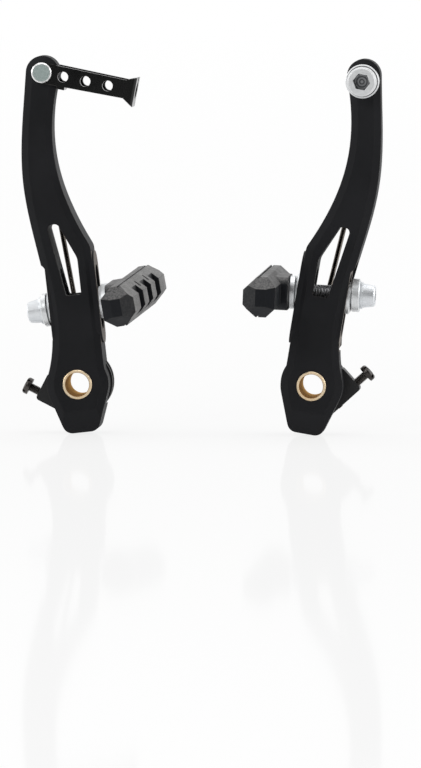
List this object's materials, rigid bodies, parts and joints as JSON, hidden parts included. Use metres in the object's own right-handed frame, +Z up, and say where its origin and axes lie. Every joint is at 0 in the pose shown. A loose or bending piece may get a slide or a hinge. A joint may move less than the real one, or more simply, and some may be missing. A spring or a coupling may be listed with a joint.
{
  "type": "bicycle linear-pull brake",
  "caption": "Linear-pull bicycle rim brake: sprung black arms on brass pivot bushes, pads on ball-seat washers, a hinged cable link and a cable clamp bolt.",
  "frame": {"origin": "Midway between the two fork boss axes, on the plane that the pivot bushes seat against.", "axes": "+X from the left arm to the right arm as seen from the front, +Y into the fork along the boss axes, +Z up."},
  "size_m": [0.1238, 0.0714, 0.129],
  "materials": {
    "arm_black": "satin black finish on forged aluminium, bead-blasted lands",
    "bush_brass": "machined brass",
    "holder_plastic": "black moulded plastic",
    "dark_steel": "black-oxide steel",
    "spring_steel": "dark spring wire",
    "washer_zinc": "bright zinc-plated steel",
    "bright_chrome": "bright plated steel",
    "stud_steel": "bright zinc-plated steel",
    "pad_rubber": "moulded black rubber, faintly speckled",
    "link_black": "gloss black steel sheet",
    "pin_steel": "plain turned steel"
  },
  "bodies": {
    "fork_side": {"left_bush": "bush_brass", "left_stop_plate": "dark_steel", "left_spring_holder": "holder_plastic", "left_spring": "spring_steel", "right_bush": "bush_brass", "right_stop_plate": "dark_steel", "right_spring_holder": "holder_plastic", "right_spring": "spring_steel"},
    "left_lever": {"left_arm": "arm_black", "link_pin": "pin_steel"},
    "left_pad_seat": {"left_inner_dome_washer": "washer_zinc", "left_outer_dome_washer": "washer_zinc"},
    "left_pad_cups": {"left_inner_cup_washer": "washer_zinc", "left_outer_cup_washer": "washer_zinc"},
    "left_pad_block": {"left_pad": "pad_rubber", "left_pad_stud": "stud_steel", "left_pad_nut": "bright_chrome"},
    "left_screw": {"left_tension_screw": "dark_steel"},
    "right_lever": {"right_arm": "arm_black", "cable_clamp_washer": "bright_chrome"},
    "right_pad_seat": {"right_inner_dome_washer": "washer_zinc", "right_outer_dome_washer": "washer_zinc"},
    "right_pad_cups": {"right_inner_cup_washer": "washer_zinc", "right_outer_cup_washer": "washer_zinc"},
    "right_pad_block": {"right_pad": "pad_rubber", "right_pad_stud": "stud_steel", "right_pad_nut": "bright_chrome"},
    "right_screw": {"right_tension_screw": "dark_steel"},
    "link": {"cable_link": "link_black"},
    "bolt": {"cable_bolt": "bright_chrome"}
  },
  "joints": [
    {"name": "left_arm_swing", "type": "hinge", "parent": "fork_side", "child": "left_lever", "pos_m": [-0.04, 0, 0], "axis": [0, 1, 0], "range_deg": [-25, 12], "stiffness_Nm_per_rad": 0.6, "deforming": ["left_spring"]},
    {"name": "left_pad_height", "type": "slide", "parent": "left_lever", "child": "left_pad_seat", "axis": [-0.1115, 0, 0.9938], "range_m": [-0.0045, 0.0087]},
    {"name": "left_pad_toe", "type": "hinge", "parent": "left_pad_seat", "child": "left_pad_cups", "pos_m": [-0.04124, -0.01005, 0.02673], "axis": [-0.1115, 0, 0.9938], "range_deg": [-2, 2]},
    {"name": "left_pad_turn", "type": "hinge", "parent": "left_pad_cups", "child": "left_pad_block", "pos_m": [-0.04124, -0.01005, 0.02673], "axis": [0.9827, -0.0696, 0.1717], "range_deg": [-15, 15]},
    {"name": "left_screw_turn", "type": "hinge", "parent": "fork_side", "child": "left_screw", "pos_m": [-0.04431, -0.00525, -0.00847], "axis": [-0.891, 0, 0.454], "range_deg": [-360, 360]},
    {"name": "right_arm_swing", "type": "hinge", "parent": "fork_side", "child": "right_lever", "pos_m": [0.04, 0, 0], "axis": [0, -1, 0], "range_deg": [-25, 12], "stiffness_Nm_per_rad": 0.6, "deforming": ["right_spring"]},
    {"name": "right_pad_height", "type": "slide", "parent": "right_lever", "child": "right_pad_seat", "axis": [0.165, 0, 0.9863], "range_m": [-0.009, 0.004]},
    {"name": "right_pad_toe", "type": "hinge", "parent": "right_pad_seat", "child": "right_pad_cups", "pos_m": [0.04344, -0.01005, 0.03116], "axis": [0.165, 0, 0.9863], "range_deg": [-2, 2]},
    {"name": "right_pad_turn", "type": "hinge", "parent": "right_pad_cups", "child": "right_pad_block", "pos_m": [0.04344, -0.01005, 0.03116], "axis": [-0.999, -0.0069, 0.0436], "range_deg": [-15, 15]},
    {"name": "right_screw_turn", "type": "hinge", "parent": "fork_side", "child": "right_screw", "pos_m": [0.04636, -0.00525, -0.00706], "axis": [0.7431, 0, 0.6691], "range_deg": [-360, 360]},
    {"name": "link_turn", "type": "hinge", "parent": "left_lever", "child": "link", "pos_m": [-0.05193, -0.0126, 0.10633], "axis": [0, -1, 0], "range_deg": [0, 130]},
    {"name": "bolt_turn", "type": "hinge", "parent": "right_lever", "child": "bolt", "pos_m": [0.05736, -0.0126, 0.10376], "axis": [0, -1, 0], "range_deg": [-180, 180]}
  ]
}
